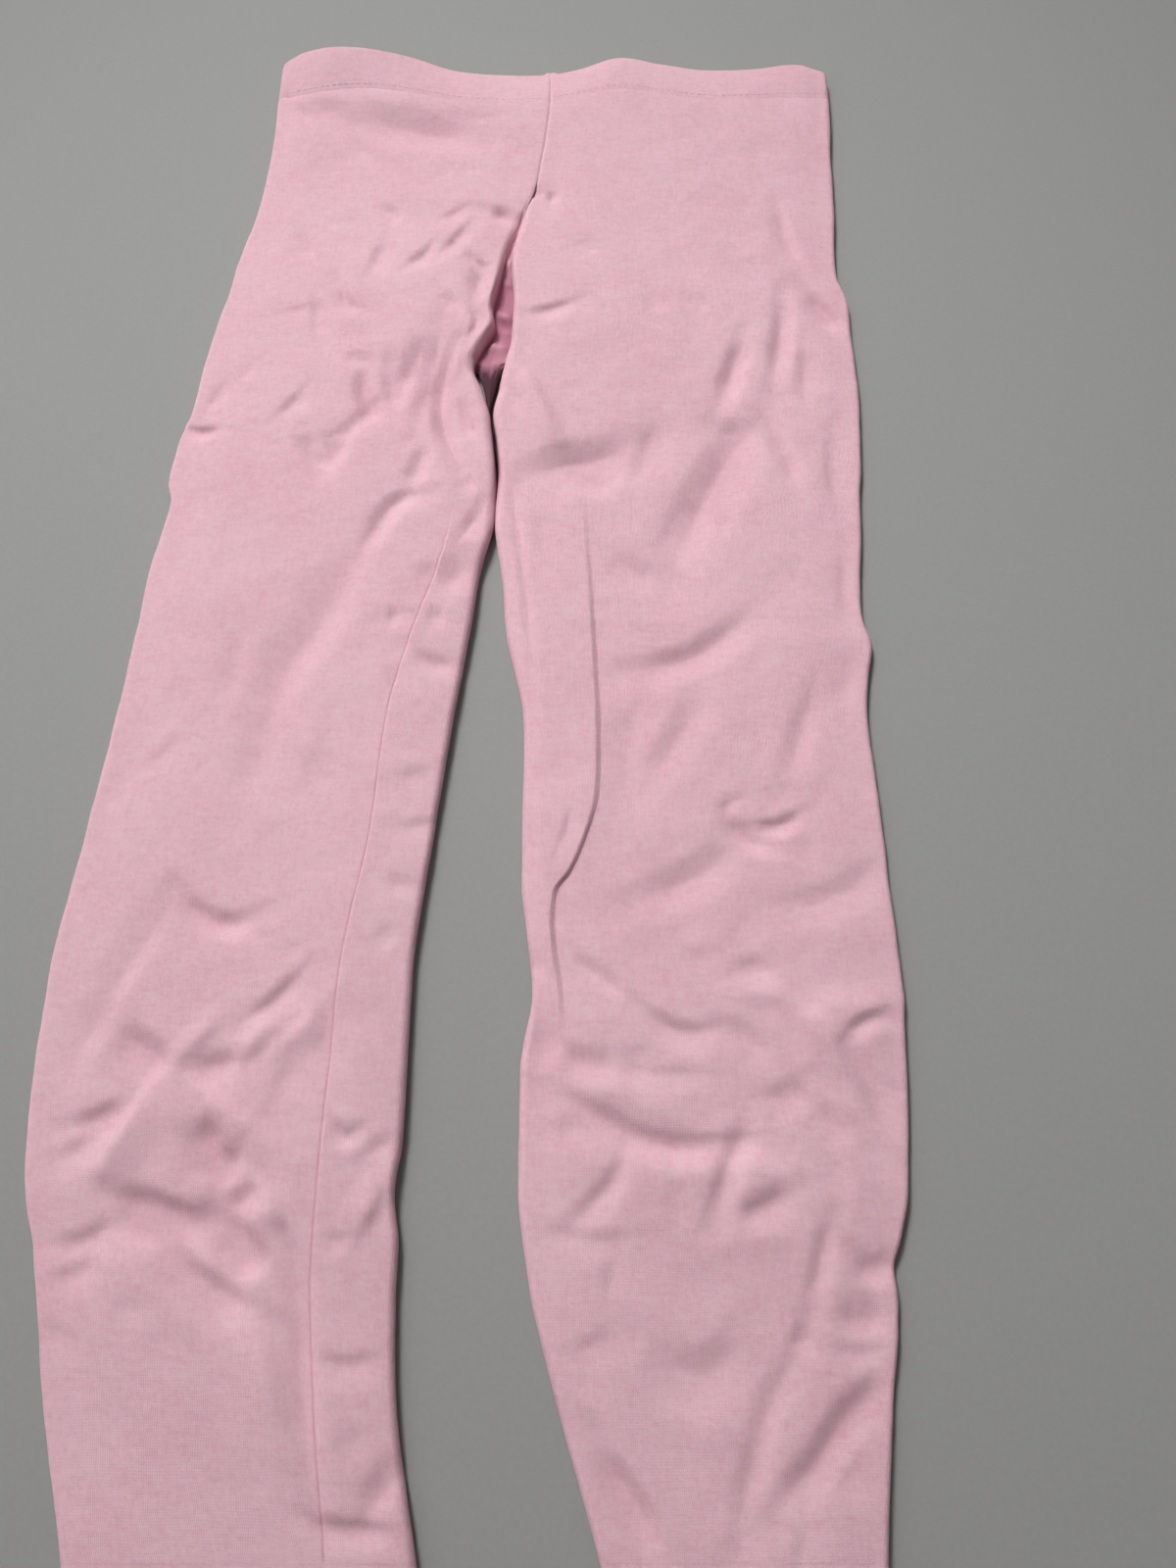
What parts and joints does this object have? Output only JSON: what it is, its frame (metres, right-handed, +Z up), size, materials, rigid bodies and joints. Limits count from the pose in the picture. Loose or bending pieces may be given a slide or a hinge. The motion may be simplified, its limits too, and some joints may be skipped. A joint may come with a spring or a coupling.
{
  "type": "leggings",
  "caption": "Child's plain jersey leggings laid flat with the front up: elastic waist casing, centre rise seam, one-piece legs with an inseam, turned hems and soft creases.",
  "frame": {"origin": "bottom centre of the box around the garment as it lies, on the surface it rests on", "axes": "+Y towards the waist along the legs, +X to the right as seen from the hems, +Z up from the surface"},
  "size_m": [0.2776, 0.5969, 0.0125],
  "materials": {
    "jersey": "matte pale pink cotton jersey with a faint nap"
  },
  "bodies": {
    "root": {"leg_left": "jersey", "leg_right": "jersey", "waist_casing_left": "jersey", "waist_casing_right": "jersey", "hem_left": "jersey", "hem_right": "jersey"}
  },
  "joints": []
}
